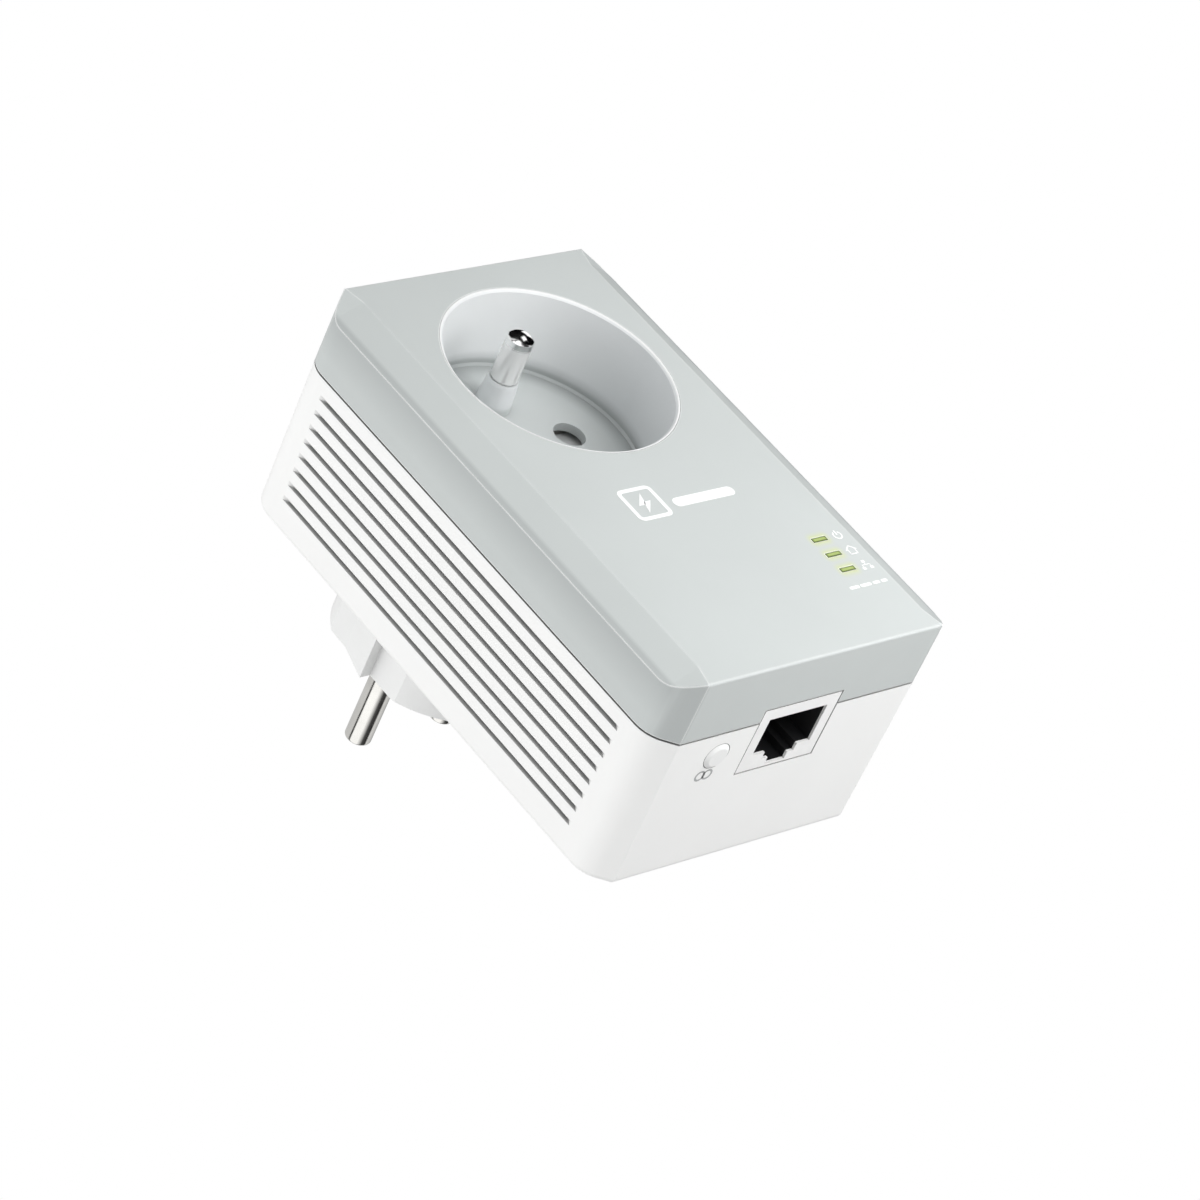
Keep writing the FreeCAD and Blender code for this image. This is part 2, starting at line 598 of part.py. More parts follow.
save("transformer_core", transformer_core())
winding = box(-17.3, -6.7, leg_y - 12.0, leg_y - 0.5, -47.8, -39.2)
save("transformer_winding", winding.cut(box(-14.2, -9.8, leg_y - 9.5, leg_y - 3.0, -49, -38)))
save("bulk_capacitor_upper", rod_y(4.0, 14.5, -41.5, leg_y - 12.5, leg_y))
save("bulk_capacitor_lower", rod_y(4.0, 14.5, -50.5, leg_y - 12.5, leg_y))
save("mains_capacitor", box(-5.5, 7.0, leg_y - 10.5, leg_y, -34.6, -29.6)
     .cut(box(6.0, 8.0, leg_y - 5, leg_y + 1, -31, -28)))
choke = rod_y(5.4, 2.6, -43.5, leg_y - 5.5, leg_y).cut(rod_y(2.2, 2.6, -43.5, leg_y - 7, leg_y + 1))
save("line_choke", choke)
save("line_fuse", rod_x(1.7, leg_y - 1.75, -57.0, -18, -8))
save("varistor", rod_z(4.6, 14.5, leg_y - 4.7, -36.2, -32.8)
     .fuse(box(13.5, 15.5, leg_y - 1, leg_y, -36.2, -32.8)).removeSplitter())
save("coupling_transformer", box(-3.5, 6.0, leg_y - 7.5, leg_y, -60.5, -52.0))
save("board_connector", box(11.0, 20.0, MAIN_BACK, POWER_FRONT, -60.6, -58.1))
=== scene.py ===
import math
import bpy
import bmesh
from mathutils import Matrix, Vector


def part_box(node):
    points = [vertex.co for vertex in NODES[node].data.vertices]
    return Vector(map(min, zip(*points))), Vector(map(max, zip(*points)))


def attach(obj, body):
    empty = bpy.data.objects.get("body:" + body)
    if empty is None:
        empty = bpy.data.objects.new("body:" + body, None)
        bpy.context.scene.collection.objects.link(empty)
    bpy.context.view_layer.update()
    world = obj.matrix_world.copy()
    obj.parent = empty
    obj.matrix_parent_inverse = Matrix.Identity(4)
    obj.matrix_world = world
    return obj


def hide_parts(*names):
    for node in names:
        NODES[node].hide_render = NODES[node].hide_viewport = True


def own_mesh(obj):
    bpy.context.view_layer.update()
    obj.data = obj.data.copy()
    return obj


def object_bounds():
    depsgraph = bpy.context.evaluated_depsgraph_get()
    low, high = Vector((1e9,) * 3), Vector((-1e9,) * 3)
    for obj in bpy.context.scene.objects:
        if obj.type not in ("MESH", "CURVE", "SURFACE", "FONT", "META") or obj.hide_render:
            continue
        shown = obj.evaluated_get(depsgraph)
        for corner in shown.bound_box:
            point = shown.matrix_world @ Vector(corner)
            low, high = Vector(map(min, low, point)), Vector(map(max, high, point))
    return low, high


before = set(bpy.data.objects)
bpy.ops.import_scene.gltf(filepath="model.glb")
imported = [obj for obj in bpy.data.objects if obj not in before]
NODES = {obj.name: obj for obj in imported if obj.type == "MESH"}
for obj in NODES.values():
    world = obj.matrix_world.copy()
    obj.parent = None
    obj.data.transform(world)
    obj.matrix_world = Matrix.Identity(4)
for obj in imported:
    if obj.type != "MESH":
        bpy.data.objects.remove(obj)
CAD_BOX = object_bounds()
MM = 0.001

# ------------------------------------------------------------------ places read from the frame
COVER_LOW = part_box("front_cover")[0]
FRONT_Y = COVER_LOW.y
PORT_Z = COVER_LOW.z
LAMPS = ("power", "house", "network")


def middle(node):
    """The centre of a CAD node's box."""
    low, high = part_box(node)
    return (low + high) / 2


# ------------------------------------------------------------------ tones, painted highlights, painted shade and their places
EDGE_RADIUS = 0.38 * MM          # how far the rounded shading and the painted highlight reach round a sharp edge
# colours of the painted highlight on sharp edges and of the painted shade on the cover
EDGE_HIGHLIGHT_RGB = (0.97, 0.98, 0.98)
SHADOW_RGB = (0.02, 0.025, 0.04)
GLOW_RGB = (0.62, 0.68, 0.24)
GLOW_REACH = 1.7 * MM
SIDE_FROM, SIDE_TO = 29.2 * MM, 29.8 * MM        # where the chamfer ends and the side begins
UNDER_FROM, UNDER_TO = 2.9 * MM, 9.5 * MM        # depth behind the front of the band of painted shade
CORNER_X = 26.15 * MM                            # where a slanted corner starts
CORNER_WAY = (0.634, 0.773)                      # its normal, across and along
# painted light in the well: walls shaded low and lit high, painted shade in the wall-to-floor
# corner, a painted highlight on the lip
WELL_WALL_SHADED_RGB, WELL_WALL_LIT_RGB = (0.70, 0.72, 0.73), (0.84, 0.855, 0.86)
WELL_CORNER_SHADE_RGB, WELL_LIP_HIGHLIGHT_RGB = (0.27, 0.29, 0.295), (0.90, 0.91, 0.91)


# ------------------------------------------------------------------ material helpers
class Nodes:
    """A short way to wire a material: every call adds one node and returns it."""

    def __init__(self, name):
        self.material = bpy.data.materials.new(name)
        self.material.use_nodes = True
        self.tree = self.material.node_tree
        self.shader = self.tree.nodes["Principled BSDF"]
        self.place = self.tree.nodes.new("ShaderNodeTexCoord").outputs["Object"]

    def add(self, kind, **values):
        node = self.tree.nodes.new(kind)
        for key, value in values.items():
            setattr(node, key, value)
        return node

    def link(self, a, b):
        self.tree.links.new(a, b)

    def noise(self, scale, detail=3.0, roughness=0.5, place=None):
        node = self.add("ShaderNodeTexNoise")
        node.inputs["Scale"].default_value = scale
        node.inputs["Detail"].default_value = detail
        node.inputs["Roughness"].default_value = roughness
        self.link(place or self.place, node.inputs["Vector"])
        return node.outputs["Fac"]

    def stretched(self, x, y, z):
        node = self.add("ShaderNodeMapping")
        node.inputs["Scale"].default_value = (x, y, z)
        self.link(self.place, node.inputs["Vector"])
        return node.outputs["Vector"]

    def spread(self, source, low, high, from_low=0.3, from_high=0.7):
        node = self.add("ShaderNodeMapRange")
        node.inputs["From Min"].default_value = from_low
        node.inputs["From Max"].default_value = from_high
        node.inputs["To Min"].default_value = low
        node.inputs["To Max"].default_value = high
        self.link(source, node.inputs["Value"])
        return node.outputs["Result"]

    def mix(self, factor, a, b):
        node = self.add("ShaderNodeMix", data_type="RGBA")
        self.link(factor, node.inputs["Factor"])
        for value, socket in ((a, node.inputs["A"]), (b, node.inputs["B"])):
            if isinstance(value, (tuple, list)):
                socket.default_value = (*value[:3], 1.0)
            else:
                self.link(value, socket)
        return node.outputs["Result"]

    def math(self, operation, a, b=None):
        node = self.add("ShaderNodeMath", operation=operation)
        for value, socket in ((a, node.inputs[0]), (b, node.inputs[1])):
            if value is None:
                continue        # operations of one value
            if isinstance(value, (int, float)):
                socket.default_value = value
            else:
                self.link(value, socket)
        return node.outputs[0]

    def bump(self, height, strength, distance, base=None):
        node = self.add("ShaderNodeBump")
        node.inputs["Strength"].default_value = strength
        node.inputs["Distance"].default_value = distance
        self.link(height, node.inputs["Height"])
        if base is not None:
            self.link(base, node.inputs["Normal"])
        self.link(node.outputs["Normal"], self.shader.inputs["Normal"])
        return node

    def edges(self, radius):
        """The normal rounded over sharp edges, and a mask of those edges."""
        bevel = self.add("ShaderNodeBevel", samples=6)
        bevel.inputs["Radius"].default_value = radius
        true = self.add("ShaderNodeNewGeometry").outputs["Normal"]
        dot = self.add("ShaderNodeVectorMath", operation="DOT_PRODUCT")
        self.link(bevel.outputs["Normal"], dot.inputs[0])
        self.link(true, dot.inputs[1])
        return bevel.outputs["Normal"], self.spread(dot.outputs["Value"], 1.0, 0.0, 0.965, 0.999)

    def crevice_shade_mask(self, distance, low=0.25, high=0.75):
        """A mask for painted shade in slots and gaps: 0 deep inside them, 1 in the open."""
        node = self.add("ShaderNodeAmbientOcclusion", samples=6)
        node.inputs["Distance"].default_value = distance
        return self.spread(node.outputs["AO"], 0.0, 1.0, low, high)

    def colour(self, socket):
        self.link(socket, self.shader.inputs["Base Color"])

    def rough(self, socket):
        self.link(socket, self.shader.inputs["Roughness"])


def shade(rgb, k):
    """The colour made lighter or darker."""
    return tuple(min(1.0, c * k) for c in rgb)


def plastic(name, rgb, rough=0.45, grain=2600.0, depth=0.006, spread=0.03, edge=0.0, crevice_shade_reach=0.0,
            crevice_shade_level=0.2, body=None):
    """Moulded plastic: fine eroded grain, faint flow clouds, uneven gloss, a painted highlight
    along sharp edges and painted shade in the slots, gaps and hollows, where each is asked for."""
    m = Nodes(name)
    clouds = m.spread(m.noise(45.0, 4.0), 0, 1)
    colour = m.mix(clouds, shade(rgb, 1 - spread), shade(rgb, 1 + spread))
    if body is not None:
        colour = body(m, colour)
    rounded = None
    # painted highlight: the colour lightened along sharp edges, over the real rounded normal
    if edge:
        rounded, mask = m.edges(EDGE_RADIUS)
        colour = m.mix(m.math("MULTIPLY", mask, edge), colour, EDGE_HIGHLIGHT_RGB)
    # painted shade: the colour darkened deep in slots, gaps and hollows
    if crevice_shade_reach:
        colour = m.mix(m.crevice_shade_mask(crevice_shade_reach * MM), shade(rgb, crevice_shade_level), colour)
    m.colour(colour)
    m.rough(m.spread(m.noise(160.0, 3.0), rough - 0.05, rough + 0.05))
    m.bump(m.noise(grain, 2.0, 0.6), 0.35, depth * MM, rounded)
    return m


def metal(name, rgb, rough=0.22, brush=(60.0, 4000.0, 60.0), depth=0.003, spread=0.06,
          metallic=1.0, crevice_shade_reach=0.0):
    """Plated or drawn metal: fine lines along one axis, small tarnish clouds."""
    m = Nodes(name)
    lines = m.noise(1.0, 2.0, 0.6, m.stretched(*brush))
    clouds = m.noise(220.0, 4.0)
    colour = m.mix(m.spread(clouds, 0, 1), shade(rgb, 1 - spread), shade(rgb, 1 + spread))
    # painted shade: the colour darkened deep in slots and gaps, where asked for
    if crevice_shade_reach:
        colour = m.mix(m.crevice_shade_mask(crevice_shade_reach * MM), shade(rgb, 0.08), colour)
    m.colour(colour)
    m.rough(m.spread(lines, rough - 0.06, rough + 0.08))
    m.bump(lines, 0.25, depth * MM)
    m.shader.inputs["Metallic"].default_value = metallic
    return m


def assign(material, *names):
    """Gives a material to CAD nodes."""
    for name in names:
        mesh = NODES[name].data
        mesh.materials.clear()
        mesh.materials.append(material.material)


# ------------------------------------------------------------------ surfaces
COVER_RGB = (0.560, 0.592, 0.585)
WHITE_RGB = (0.925, 0.928, 0.920)


def lamp_glow(m, body, split):
    """The soft green light round each lamp slot, painted into the cover's colour."""
    glow = None
    for lamp in LAMPS:
        low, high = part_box("light_pipe_" + lamp)
        centre, half = (low + high) / 2, (high - low) / 2
        dx = m.math("MAXIMUM", m.math("SUBTRACT", m.math("ABSOLUTE", m.math(
            "SUBTRACT", split.outputs["X"], centre.x)), half.x - 0.3 * MM), 0.0)
        dz = m.math("MAXIMUM", m.math("SUBTRACT", m.math("ABSOLUTE", m.math(
            "SUBTRACT", split.outputs["Z"], centre.z)), half.z), 0.0)
        away = m.math("SQRT", m.math("ADD", m.math("MULTIPLY", dx, dx),
                                     m.math("MULTIPLY", dz, dz)))
        near = m.math("POWER", m.spread(away, 1.0, 0.0, 0.0, GLOW_REACH), 1.9)
        glow = near if glow is None else m.math("MAXIMUM", glow, near)
    return m.mix(m.math("MULTIPLY", glow, 0.85), body, GLOW_RGB)


def cover_painted_light(m, body):
    """Cover plastic with painted shade on the slanted corners and in a band under the long
    chamfers.
    """
    split = m.add("ShaderNodeSeparateXYZ")
    m.link(m.place, split.inputs["Vector"])
    across = m.math("ABSOLUTE", split.outputs["X"])
    under = m.math("MULTIPLY", m.spread(across, 0.0, 1.0, SIDE_FROM, SIDE_TO),
                   m.spread(split.outputs["Y"], 1.0, 0.0, FRONT_Y + UNDER_FROM,
                            FRONT_Y + UNDER_TO))
    slant = m.math("SUBTRACT",
                   m.math("MULTIPLY", m.math("SUBTRACT", across, CORNER_X), CORNER_WAY[0]),
                   m.math("MULTIPLY", m.math("SUBTRACT", split.outputs["Z"], PORT_Z),
                          CORNER_WAY[1]))
    corner = m.spread(slant, 0.0, 1.0, -0.35 * MM, -0.05 * MM)
    # painted shade in a band under the long chamfers and on the slanted corners
    painted_shade = m.math("ADD", m.math("MULTIPLY", under, 0.20), m.math("MULTIPLY", corner, 0.15))
    body = m.mix(painted_shade, body, SHADOW_RGB)
    return lamp_glow(m, body, split)


def well_painted_light(m, body):
    """Painted light in the well: a painted highlight on the thin lip, walls and skirt painted
    lighter than the floor and lighter towards +Z, and painted shade in the corner between.
    """
    split = m.add("ShaderNodeSeparateXYZ")
    m.link(m.place, split.inputs["Vector"])
    floor = m.spread(split.outputs["Y"], 0.0, 1.0, FRONT_Y + 14.2 * MM, FRONT_Y + 14.9 * MM)
    # walls painted lighter towards +Z, where more light falls
    wall = m.mix(m.spread(split.outputs["Z"], 0.0, 1.0, 0.0, 19.0 * MM), WELL_WALL_SHADED_RGB,
                 WELL_WALL_LIT_RGB)
    body = m.mix(floor, wall, body)
    from_axis = m.math("SQRT", m.math("ADD", m.math("POWER", split.outputs["X"], 2.0),
                                      m.math("POWER", split.outputs["Z"], 2.0)))
    low = m.spread(split.outputs["Y"], 0.0, 1.0, FRONT_Y + 12.8 * MM, FRONT_Y + 15.2 * MM)
    corner = m.math("MULTIPLY", low, m.spread(from_axis, 0.0, 1.0, 16.5 * MM, 19.6 * MM))
    body = m.mix(m.math("MULTIPLY", corner, 0.36), body, WELL_CORNER_SHADE_RGB)
    lip = m.spread(split.outputs["Y"], 1.0, 0.0, FRONT_Y + 0.10 * MM, FRONT_Y + 0.18 * MM)
    return m.mix(lip, body, WELL_LIP_HIGHLIGHT_RGB)


def earth_pin_material():
    """Nickel plate: bright on the domed tip, satin down the shaft."""
    m = metal("nickel_satin", (0.93, 0.93, 0.925), 0.12, (400.0, 900.0, 400.0), spread=0.03)
    split = m.add("ShaderNodeSeparateXYZ")
    m.link(m.place, split.inputs["Vector"])
    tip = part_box("earth_pin")[0].y
    m.link(m.spread(split.outputs["Y"], 1.0, 0.45, tip + 1.9 * MM, tip + 2.6 * MM),
           m.shader.inputs["Metallic"])
    return m


# Painted shade darkens slots, gaps and hollows on each part given a reach for it, and the cover
# gets a painted highlight along its sharp edges
assign(plastic("cover_plastic", COVER_RGB, 0.42, 2400.0, spread=0.015, edge=0.75, crevice_shade_reach=0.9,
               body=cover_painted_light), "front_cover")
assign(plastic("well_plastic", (0.60, 0.63, 0.625), 0.36, spread=0.015, crevice_shade_reach=5.0, crevice_shade_level=0.5,
               body=well_painted_light), "socket_well")
assign(plastic("housing_plastic", WHITE_RGB, 0.42, spread=0.012, crevice_shade_reach=1.6,
               crevice_shade_level=0.32), "rear_housing")
assign(plastic("button_plastic", (0.88, 0.885, 0.88), 0.40, spread=0.015, crevice_shade_reach=0.9), "pair_button")
assign(plastic("plug_plastic", (0.86, 0.865, 0.86), 0.38, spread=0.02, crevice_shade_reach=9.0,
               crevice_shade_level=0.70), "plug_body")
assign(metal("nickel_plate", (0.74, 0.73, 0.70), 0.14, (400.0, 900.0, 400.0)),
       "plug_pin_left", "plug_pin_right")
assign(earth_pin_material(), "earth_pin")
assign(metal("contact_brass", (0.72, 0.55, 0.27), 0.25), "socket_contact_left",
       "socket_contact_right", "live_busbar", "neutral_busbar", "earth_receptacle", "earth_link")
assign(plastic("carrier_plastic", (0.78, 0.77, 0.72), 0.5), "shutter_carrier",
       "insulating_barrier")
assign(plastic("shutter_plastic", (0.62, 0.64, 0.635), 0.3), "shutter_slider")
assign(metal("spring_steel", (0.55, 0.55, 0.57), 0.3), "shutter_spring")
# the jack's shield gets painted shade in the gap round it
assign(metal("shield_tin", (0.95, 0.95, 0.945), 0.38, (2200.0, 2200.0, 60.0), spread=0.03,
             metallic=0.15, crevice_shade_reach=0.5), "rj45_shield")
assign(plastic("insert_black", (0.012, 0.012, 0.013), 0.4, spread=0.2), "rj45_housing",
       "board_connector", "tact_switch", "plc_processor", "memory_chip", "network_transformer",
       "tact_plunger")
assign(metal("gold_flash", (0.86, 0.62, 0.25), 0.2), "rj45_contacts")
assign(metal("heat_sink_aluminium", (0.62, 0.62, 0.63), 0.4, (60.0, 60.0, 3000.0)), "heat_sink")
assign(metal("crystal_can", (0.7, 0.7, 0.71), 0.28), "crystal")
assign(plastic("ferrite", (0.055, 0.055, 0.06), 0.62, 1500.0, 0.02, 0.15), "transformer_core",
       "line_choke")
assign(plastic("winding_tape", (0.72, 0.50, 0.06), 0.32, 900.0), "transformer_winding",
       "coupling_transformer")
assign(plastic("capacitor_sleeve", (0.02, 0.03, 0.09), 0.25), "bulk_capacitor_upper",
       "bulk_capacitor_lower")
assign(plastic("capacitor_box", (0.60, 0.50, 0.09), 0.35), "mains_capacitor")
assign(plastic("fuse_ceramic", (0.72, 0.68, 0.58), 0.3), "line_fuse")
assign(plastic("varistor_blue", (0.03, 0.10, 0.38), 0.28), "varistor")
assign(metal("screw_zinc", (0.50, 0.51, 0.53), 0.3), "screw_upper_left", "screw_upper_right",
       "screw_lower_left", "screw_lower_right")
assign(plastic("label_film", (0.70, 0.71, 0.71), 0.55, 1200.0, 0.004), "rear_label")


def board_material():
    """Solder mask over faint copper tracks and vias."""
    m = Nodes("board_mask")
    tracks = m.add("ShaderNodeTexBrick")
    tracks.inputs["Scale"].default_value = 180.0
    tracks.inputs["Mortar Size"].default_value = 0.06
    m.link(m.place, tracks.inputs["Vector"])
    m.colour(m.mix(tracks.outputs["Fac"], (0.012, 0.12, 0.05), (0.03, 0.22, 0.09)))
    m.rough(m.spread(m.noise(300.0), 0.22, 0.34))
    m.bump(tracks.outputs["Fac"], 0.3, 0.03 * MM)
    return m


def lens_material(lamp):
    """Clear green lens: pale along the middle, with painted shade making it deep green towards its
    edges.
    """
    m = Nodes("lamp_lens_" + lamp)
    split = m.add("ShaderNodeSeparateXYZ")
    m.link(m.place, split.inputs["Vector"])
    low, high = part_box("light_pipe_" + lamp)
    off = [m.math("DIVIDE", m.math("ABSOLUTE", m.math(
        "SUBTRACT", split.outputs[letter], (low[axis] + high[axis]) / 2)),
        (high[axis] - low[axis]) / 2) for letter, axis in (("X", 0), ("Z", 2))]
    # painted shade from the slot's edges
    edge = m.math("MAXIMUM", m.spread(off[0], 0.0, 1.0, 0.72, 1.0),
                  m.spread(off[1], 0.0, 1.0, 0.35, 0.95))
    tint = m.mix(edge, (0.38, 0.47, 0.15), (0.12, 0.17, 0.035))
    m.colour(tint)
    m.rough(m.spread(m.noise(900.0), 0.30, 0.42))
    m.link(tint, m.shader.inputs["Emission Color"])
    m.shader.inputs["Emission Strength"].default_value = 0.045
    m.bump(m.noise(1500.0), 0.2, 0.01 * MM)
    return m


assign(board_material(), "main_board", "power_board")
for lamp in LAMPS:
    assign(lens_material(lamp), "light_pipe_" + lamp)
assign(plastic("lamp_chip", (0.55, 0.85, 0.25), 0.3), *["lamp_" + lamp for lamp in LAMPS])


# ------------------------------------------------------------------ printed marks
PRINT_LIFT = 0.012 * MM
ICON_X = 22.45


def flat_piece(name, outlines, plane, material):
    """Thin printed shapes; outlines are point lists in the plane, placed by the plane function."""
    bm = bmesh.new()
    for points in outlines:
        verts = [bm.verts.new(plane(a, b, PRINT_LIFT)) for a, b in points]
        bm.faces.new(verts)
    mesh = bpy.data.meshes.new(name)
    bm.to_mesh(mesh)
    bm.free()
    piece = bpy.data.objects.new(name, mesh)
    bpy.context.scene.collection.objects.link(piece)
    mesh.materials.append(material.material)
    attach(piece, "adapter")
    return piece


def on_front(x, z, lift):
    """A point on the front face."""
    return Vector((x * MM, FRONT_Y - lift, PORT_Z + z * MM))


def on_end(x, y, lift):
    """A point on the port end, with y as depth behind the front face."""
    return Vector((x * MM, FRONT_Y + y * MM, PORT_Z - lift))


def ring(cx, cz, outer, inner, start=0.0, stop=360.0, steps=28):
    """Quads that make an arc band."""
    quads = []
    for i in range(steps):
        a = math.radians(start + (stop - start) * i / steps)
        b = math.radians(start + (stop - start) * (i + 1) / steps)
        quads.append([(cx + inner * math.cos(a), cz + inner * math.sin(a)),
                      (cx + outer * math.cos(a), cz + outer * math.sin(a)),
                      (cx + outer * math.cos(b), cz + outer * math.sin(b)),
                      (cx + inner * math.cos(b), cz + inner * math.sin(b))])
    return quads


def bar(x0, z0, x1, z1, width):
    """A straight stroke."""
    dx, dz = x1 - x0, z1 - z0
    length = math.hypot(dx, dz)
    nx, nz = -dz / length * width / 2, dx / length * width / 2
    return [(x0 + nx, z0 + nz), (x0 - nx, z0 - nz), (x1 - nx, z1 - nz), (x1 + nx, z1 + nz)]


def pill(cx, cz, half, radius, steps=10):
    """A bar with round ends."""
    points = []
    for side, first in ((1, -90), (-1, 90)):
        for i in range(steps + 1):
            a = math.radians(first + 180 * i / steps)
            points.append((cx + side * half + radius * math.cos(a), cz + radius * math.sin(a)))
    return points


white_ink = plastic("white_ink", (0.93, 0.94, 0.94), 0.5, 1800.0, 0.002, 0.01)
grey_ink = plastic("grey_ink", (0.42, 0.43, 0.43), 0.5, 1800.0, 0.002, 0.02)


def icon_places():
    """Centres of the three icons, beside their lamps."""
    return [(ICON_X, (middle("light_pipe_" + lamp).z - PORT_Z) / MM) for lamp in LAMPS]


(power_x, power_z), (house_x, house_z), (net_x, net_z) = icon_places()
flat_piece("icon_power", ring(power_x, power_z, 0.95, 0.68, 120, 420)
           + [bar(power_x, power_z + 0.1, power_x, power_z + 1.15, 0.3)], on_front,
           material=white_ink)
house = [bar(house_x - 1.15, house_z, house_x, house_z + 1.0, 0.28),
         bar(house_x, house_z + 1.0, house_x + 1.15, house_z, 0.28),
         bar(house_x - 0.75, house_z + 0.2, house_x - 0.75, house_z - 0.9, 0.26),
         bar(house_x + 0.75, house_z + 0.2, house_x + 0.75, house_z - 0.9, 0.26),
         bar(house_x - 0.88, house_z - 0.9, house_x + 0.88, house_z - 0.9, 0.26)]
flat_piece("icon_house", house, on_front, material=white_ink)
boxes = [[(net_x + a - 0.36, net_z + b - 0.3), (net_x + a + 0.36, net_z + b - 0.3),
          (net_x + a + 0.36, net_z + b + 0.3), (net_x + a - 0.36, net_z + b + 0.3)]
         for a, b in ((0, 0.75), (-0.85, -0.75), (0.85, -0.75))]
flat_piece("icon_network", boxes + [bar(net_x, net_z + 0.5, net_x, net_z, 0.2),
                                    bar(net_x - 0.95, net_z, net_x + 0.95, net_z, 0.2),
                                    bar(net_x - 0.85, net_z, net_x - 0.85, net_z - 0.5, 0.2),
                                    bar(net_x + 0.85, net_z, net_x + 0.85, net_z - 0.5, 0.2)],
           on_front, material=white_ink)
flat_piece("print_bars", [pill(x, 11.75, half, 0.34) for x, half in
                          ((16.3, 0.75), (18.9, 0.9), (21.3, 0.45), (23.1, 0.35))],
           on_front, material=white_ink)

# A plain mark: a rounded square with a bolt, beside a plain pill
mark_x, mark_z = -7.7, 38.6
mark = []
side, corner, line = 3.7, 1.2, 0.8
for sx, sz in ((1, 1), (-1, 1), (-1, -1), (1, -1)):
    first = {(1, 1): 0, (-1, 1): 90, (-1, -1): 180, (1, -1): 270}[(sx, sz)]
    mark += ring(mark_x + sx * (side - corner), mark_z + sz * (side - corner), corner,
                 corner - line, first, first + 90, 8)
reach = side - corner
for sx, sz in ((0, 1), (0, -1), (1, 0), (-1, 0)):
    cx, cz = mark_x + sx * (side - line / 2), mark_z + sz * (side - line / 2)
    mark.append(bar(cx - reach * abs(sz), cz - reach * abs(sx),
                    cx + reach * abs(sz), cz + reach * abs(sx), line))
for turn_way in (1, -1):
    mark.append([(mark_x + turn_way * a, mark_z + turn_way * b) for a, b in
                 ((0.7, 2.3), (-1.5, -0.35), (-0.1, -0.35), (0.15, 0.1))])
flat_piece("plain_mark", mark, on_front, material=white_ink)
flat_piece("plain_pill", [pill(4.3, 37.3, 5.7, 1.05)], on_front, material=white_ink)

# Two linked rings under the pair button
PAIR_DEPTH, PAIR_OUTER, PAIR_INNER = 21.5, 1.1, 0.72
flat_piece("icon_pair", ring(-17.3, PAIR_DEPTH, PAIR_OUTER, PAIR_INNER)
           + ring(-15.7, PAIR_DEPTH, PAIR_OUTER, PAIR_INNER), on_end, material=grey_ink)


# ------------------------------------------------------------------ spring
# The spring is drawn as a copy of its coil, attached to the adapter body, and the CAD spring is
# hidden
coil = bpy.data.objects.new("shutter_coil", NODES["shutter_spring"].data.copy())
coil.matrix_world = NODES["shutter_spring"].matrix_world.copy()
bpy.context.scene.collection.objects.link(coil)
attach(coil, "adapter")
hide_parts("shutter_spring")
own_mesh(coil)


# ------------------------------------------------------------------ stage
def area_light(name, place, target, size, power):
    """A soft box that lights surfaces but isn't seen, nor mirrored in the metal."""
    data = bpy.data.lights.new(name, "AREA")
    data.shape = "RECTANGLE"
    data.size, data.size_y = size
    data.energy = power
    light = bpy.data.objects.new(name, data)
    bpy.context.scene.collection.objects.link(light)
    light.location = place
    light.rotation_mode = "QUATERNION"
    light.rotation_quaternion = (Vector(target) - Vector(place)).to_track_quat("-Z", "Y")
    light.visible_camera = False
    light.visible_glossy = False


centre = (CAD_BOX[0] + CAD_BOX[1]) / 2
FLOOR_Z = -0.85
FLOOR_HALF = 6.0
bm = bmesh.new()
bmesh.ops.create_grid(bm, x_segments=8, y_segments=8, size=FLOOR_HALF)
floor_mesh = bpy.data.meshes.new("floor")
bm.to_mesh(floor_mesh)
bm.free()
floor = bpy.data.objects.new("floor", floor_mesh)
floor.location = (0, 0, FLOOR_Z)
floor.visible_glossy = False
bpy.context.scene.collection.objects.link(floor)
floor_mesh.materials.append(plastic("floor_paper", (0.86, 0.86, 0.86), 0.8, 60.0, 0.1).material)

world = bpy.data.worlds.new("studio")
bpy.context.scene.world = world
world.use_nodes = True
sky = world.node_tree
backdrop = sky.nodes["Background"]
backdrop.inputs["Color"].default_value = (1.0, 1.0, 1.0, 1.0)
FILL = 0.77
fill = sky.nodes.new("ShaderNodeBackground")
fill.inputs["Strength"].default_value = FILL

# What polished metal sees: light and dark bands round the Y axis, and two panes in a dark wall
direction = sky.nodes.new("ShaderNodeTexCoord").outputs["Generated"]
parts = sky.nodes.new("ShaderNodeSeparateXYZ")
sky.links.new(direction, parts.inputs["Vector"])


def sky_math(operation, a, b=0.0):
    """One maths node in the world."""
    node = sky.nodes.new("ShaderNodeMath")
    node.operation = operation
    for value, socket in ((a, node.inputs[0]), (b, node.inputs[1])):
        if isinstance(value, (int, float)):
            socket.default_value = value
        else:
            sky.links.new(value, socket)
    return node.outputs[0]


def sky_dot(vector):
    """How far a ray leans towards a direction."""
    node = sky.nodes.new("ShaderNodeVectorMath")
    node.operation = "DOT_PRODUCT"
    sky.links.new(direction, node.inputs[0])
    node.inputs[1].default_value = vector
    return node.outputs["Value"]


def sky_step(value, low, high):
    """A soft step from 0 at low to 1 at high."""
    node = sky.nodes.new("ShaderNodeMapRange")
    node.inputs["From Min"].default_value = low
    node.inputs["From Max"].default_value = high
    sky.links.new(value, node.inputs["Value"])
    return node.outputs["Result"]


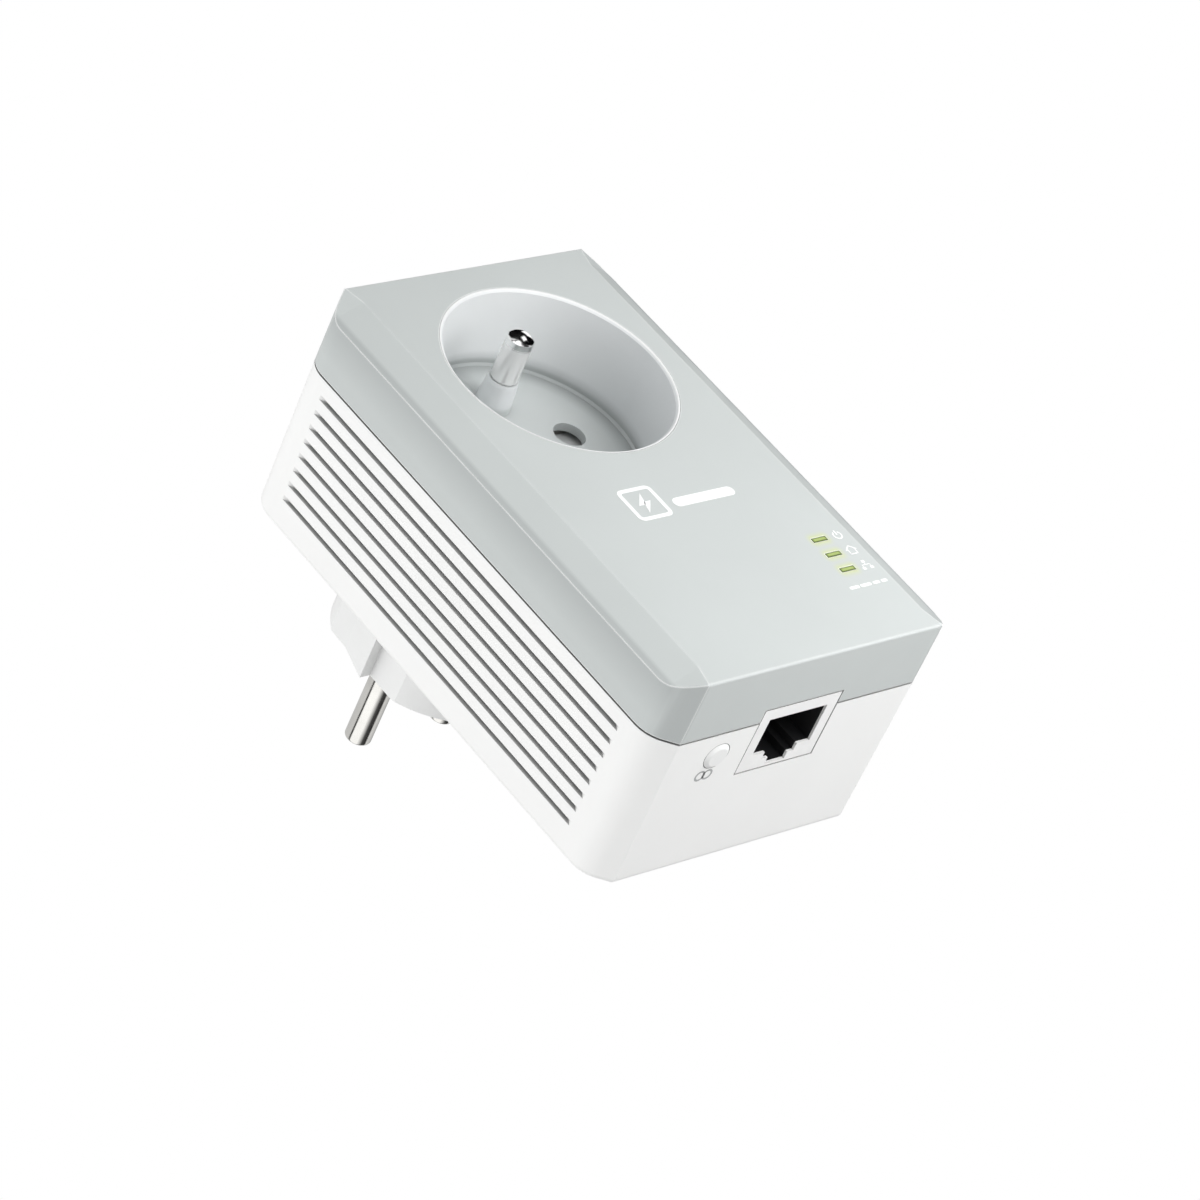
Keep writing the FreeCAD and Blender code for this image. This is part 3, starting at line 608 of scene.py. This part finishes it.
# Degrees round the Y axis and the brightness there
BANDS = ((36, 0.62), (149, 0.74), (154, 0.05), (165, 0.05), (170, 1.30), (232, 1.30),
         (270, 0.08), (304, 0.02), (311, 0.85), (350, 0.62))
BAND_END = 0.46
ramp = sky.nodes.new("ShaderNodeValToRGB")
stops = ramp.color_ramp.elements
stops[0].position, stops[1].position = 0.0, 1.0
stops[0].color = stops[1].color = (BAND_END, BAND_END, BAND_END, 1.0)
for degrees, level in BANDS:
    stops.new(degrees / 360).color = (level, level, level, 1.0)
turn_round = sky_math("ARCTAN2", parts.outputs["Z"], parts.outputs["X"])
turn_share = sky_math("ADD", sky_math("DIVIDE", turn_round, 2 * math.pi), 1.0)
sky.links.new(sky_math("FRACT", turn_share), ramp.inputs["Fac"])
# The wall lies where the domed end of the earth pin mirrors it to the camera
box_way = Vector((0.667, -0.573, 0.476)).normalized()
box_side = box_way.cross(Vector((0, 0, 1))).normalized()
box_up = box_side.cross(box_way)
dark = sky_step(sky_dot(box_way), 0.40, 0.50)
across_box, up_box = sky_dot(box_side), sky_dot(box_up)
PANE_BLUR = 0.04
PANE_LEVEL = 1.15
panes = []
for side_mid, up_mid, half in ((-0.30, 0.0, 0.20), (0.42, -0.38, 0.16)):
    reach_side = sky_math("ABSOLUTE", sky_math("SUBTRACT", across_box, side_mid))
    reach_up = sky_math("ABSOLUTE", sky_math("SUBTRACT", up_box, up_mid))
    panes.append(sky_math("MULTIPLY", sky_step(reach_side, half + PANE_BLUR, half),
                          sky_step(reach_up, half + PANE_BLUR, half)))
window = sky_math("ADD", panes[0], panes[1])
level = sky_math("MULTIPLY", ramp.outputs["Color"], sky_math("SUBTRACT", 1.0, dark))
level = sky_math("ADD", level, sky_math("MULTIPLY", sky_math("MULTIPLY", window, dark),
                                        PANE_LEVEL))
studio = sky.nodes.new("ShaderNodeBackground")
sky.links.new(level, studio.inputs["Strength"])
studio.inputs["Color"].default_value = (1.0, 1.0, 1.0, 1.0)

seen = sky.nodes.new("ShaderNodeLightPath")
glossy = sky.nodes.new("ShaderNodeMixShader")
blend = sky.nodes.new("ShaderNodeMixShader")
sky.links.new(seen.outputs["Is Glossy Ray"], glossy.inputs["Fac"])
sky.links.new(fill.outputs["Background"], glossy.inputs[1])
sky.links.new(studio.outputs["Background"], glossy.inputs[2])
sky.links.new(seen.outputs["Is Camera Ray"], blend.inputs["Fac"])
sky.links.new(glossy.outputs["Shader"], blend.inputs[1])
sky.links.new(backdrop.outputs["Background"], blend.inputs[2])
sky.links.new(blend.outputs["Shader"], sky.nodes["World Output"].inputs["Surface"])
bpy.context.scene.view_settings.view_transform = "Standard"

# name: direction from the middle of the adapter, distance, width, height, power
LIGHTS = {
    "left": ((-1.0, 0.0, 0.1), 1.0, 0.6, 0.6, 1.9),
    "left_far": ((-0.7, -0.1, 0.7), 1.0, 0.6, 0.6, 0.8),
    "front_far": ((-0.5, -0.6, 0.6), 1.0, 0.6, 0.6, 1.1),
    "front_port": ((0.0, -0.7, -0.7), 1.0, 0.6, 0.6, 1.25),
    "near_port": ((0.3, -0.8, -0.5), 0.25, 0.15, 0.15, 0.34),
    "back_left": ((-0.8, 0.5, 0.2), 1.0, 0.6, 0.6, 1.6),
}
for light_name, (light_way, away, width, height, power) in LIGHTS.items():
    area_light(light_name, centre + Vector(light_way).normalized() * away, centre,
               (width, height), power)

# Camera at the photograph's viewing angle
CAMERA_PLACE = (-0.51096, -0.47306, -0.39110)
CAMERA_LENS, CAMERA_SENSOR = 141.1, 36.0
camera_data = bpy.data.cameras.new("camera")
camera_data.sensor_width = CAMERA_SENSOR
camera_data.lens = CAMERA_LENS
camera_data.clip_start = 0.01
camera_data.clip_end = 50.0
camera = bpy.data.objects.new("camera", camera_data)
bpy.context.scene.collection.objects.link(camera)
right = Vector((0.72441, -0.35153, -0.59300))
down = Vector((-0.17235, 0.74054, -0.64953))
ahead = Vector((0.66747, 0.57274, 0.47587))
turn = Matrix((right, -down, -ahead)).transposed().to_4x4()
camera.matrix_world = Matrix.Translation(CAMERA_PLACE) @ turn
bpy.context.scene.camera = camera
